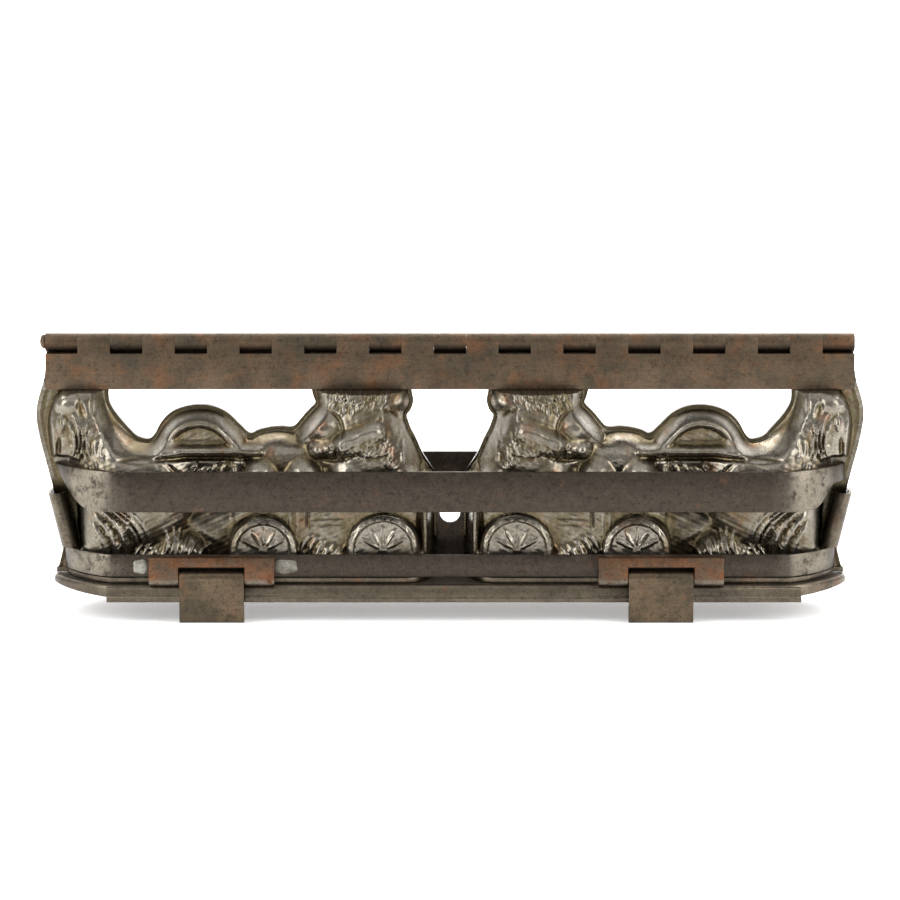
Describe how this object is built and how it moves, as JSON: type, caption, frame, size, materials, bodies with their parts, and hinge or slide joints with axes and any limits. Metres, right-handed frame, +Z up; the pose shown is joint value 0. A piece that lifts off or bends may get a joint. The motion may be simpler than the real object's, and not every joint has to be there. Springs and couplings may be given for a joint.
{
  "type": "hinged chocolate mould",
  "caption": "Hinged tinned-steel chocolate mould: pressed halves on a piano hinge, strengthening bars, beaded base plate and spring latches.",
  "frame": {"origin": "middle of the box that holds the mould, on its lowest point, which is the bottom of the latch hooks", "axes": "+X along the hinge to the right seen from the front, +Y to the rear, +Z up with the hinge on top"},
  "size_m": [0.2668, 0.0489, 0.09],
  "materials": {
    "tinned_shell": "worn tin plate, bright on the high places, grey-brown and rusty in the low ones",
    "dark_steel": "tarnished tin plate, dull grey-brown with lighter ends",
    "brown_steel": "tarnished tin plate with a warm brown film and rust blotches",
    "latch_steel": "light brown spring strip, polished by handling"
  },
  "bodies": {
    "rear_half": {"rear_shell_left": "tinned_shell", "rear_shell_right": "tinned_shell", "rear_hinge_leaf": "brown_steel", "hinge_pin": "brown_steel", "rear_middle_bar": "dark_steel", "rear_bottom_bar": "dark_steel", "rear_centre_web": "dark_steel", "base_plate": "dark_steel"},
    "front_half": {"front_shell_left": "tinned_shell", "front_shell_right": "tinned_shell", "front_hinge_leaf": "brown_steel", "front_middle_bar": "dark_steel", "front_bottom_bar": "dark_steel", "front_centre_web": "dark_steel", "side_lug_left": "dark_steel", "side_lug_right": "dark_steel", "latch_tab_left": "brown_steel", "latch_tab_right": "brown_steel", "latch_pin_left": "brown_steel", "latch_pin_right": "brown_steel"},
    "left_latch": {"latch_left": "latch_steel"},
    "right_latch": {"latch_right": "latch_steel"}
  },
  "joints": [
    {"name": "front_half_hinge", "type": "hinge", "parent": "rear_half", "child": "front_half", "pos_m": [0, 0.00065, 0.0873], "axis": [-1, 0, 0], "range_deg": [0, 180]},
    {"name": "left_latch_hinge", "type": "hinge", "parent": "front_half", "child": "left_latch", "pos_m": [-0.076, -0.02205, 0.0143], "axis": [-1, 0, 0], "range_deg": [0, 110]},
    {"name": "right_latch_hinge", "type": "hinge", "parent": "front_half", "child": "right_latch", "pos_m": [0.0673, -0.02205, 0.0143], "axis": [-1, 0, 0], "range_deg": [0, 110]}
  ]
}
